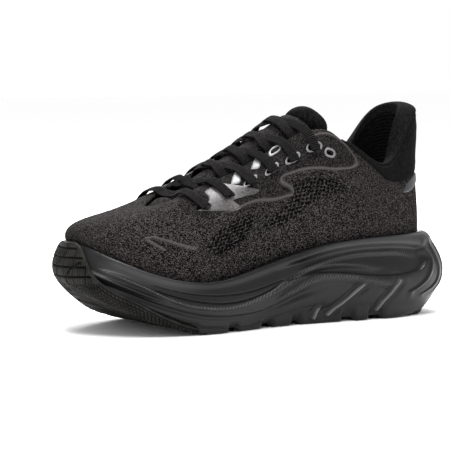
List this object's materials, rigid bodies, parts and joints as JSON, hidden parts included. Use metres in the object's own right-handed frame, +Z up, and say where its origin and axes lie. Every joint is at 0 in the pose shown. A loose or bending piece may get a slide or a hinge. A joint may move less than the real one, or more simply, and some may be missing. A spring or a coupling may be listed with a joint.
{
  "type": "running shoe",
  "caption": "Low-cut cushioned running shoe, right foot: thick flared foam sole with rubber pads, knit upper, padded collar, laced throat and hinged padded tongue.",
  "frame": {"origin": "middle of the footprint box, on the ground", "axes": "+Z up; the toe points to -X and the heel to +X; -Y is the medial side and +Y the lateral side"},
  "size_m": [0.2964, 0.1168, 0.1464],
  "materials": {
    "foam": "moulded dark grey foam, satin skin",
    "tread_rubber": "moulded near-black rubber, matt",
    "board": "stitched fibre board",
    "insole": "brushed textile over foam",
    "upper_knit": "charcoal and grey melange flat knit",
    "stiffener": "thermoformed board",
    "pad_foam": "open-cell foam",
    "lining": "black three-dimensional knit",
    "collar_fabric": "smooth black stretch fabric",
    "tape": "woven reinforcement tape",
    "film": "heat-bonded grey film",
    "eyelet_film": "heat-bonded silver film",
    "badge": "heat-bonded plain film",
    "lace": "flat ribbed woven lace",
    "lace_tip": "rolled film tip"
  },
  "bodies": {
    "root": {"midsole": "foam", "strobel_board": "board", "sockliner": "insole", "outsole_heel_medial": "tread_rubber", "outsole_heel_lateral": "tread_rubber", "outsole_heel_centre": "tread_rubber", "outsole_midfoot_lateral": "tread_rubber", "outsole_forefoot_lateral": "tread_rubber", "outsole_forefoot_medial": "tread_rubber", "outsole_ball": "tread_rubber", "outsole_toe": "tread_rubber", "knit_upper": "upper_knit", "heel_counter": "stiffener", "toe_puff": "stiffener", "collar_foam": "pad_foam", "collar_lining": "lining", "collar_binding": "collar_fabric", "collar_wrap": "collar_fabric", "lace": "lace", "lace_tip_medial": "lace_tip", "lace_tip_lateral": "lace_tip", "eyestay_backing_medial": "tape", "film_patch_medial": "film", "heel_badge_medial": "badge", "eyelet_ring_medial_3": "eyelet_film", "eyelet_ring_medial_4": "eyelet_film", "eyelet_ring_medial_5": "eyelet_film", "eyelet_ring_medial_6": "eyelet_film", "eyelet_ring_medial_7": "eyelet_film", "eyestay_backing_lateral": "tape", "film_patch_lateral": "film", "heel_badge_lateral": "badge", "eyelet_ring_lateral_3": "eyelet_film", "eyelet_ring_lateral_4": "eyelet_film", "eyelet_ring_lateral_5": "eyelet_film", "eyelet_ring_lateral_6": "eyelet_film", "eyelet_ring_lateral_7": "eyelet_film"},
    "tongue": {"tongue_face": "upper_knit", "tongue_foam": "pad_foam", "tongue_lining": "lining", "tongue_top_pad": "collar_fabric"}
  },
  "joints": [
    {"name": "tongue_press", "type": "hinge", "parent": "root", "child": "tongue", "pos_m": [-0.0795, -0.0025, 0.074], "axis": [0, 1, 0], "range_deg": [0, 9], "stiffness_Nm_per_rad": 0.6, "springref_deg": -6.88}
  ]
}
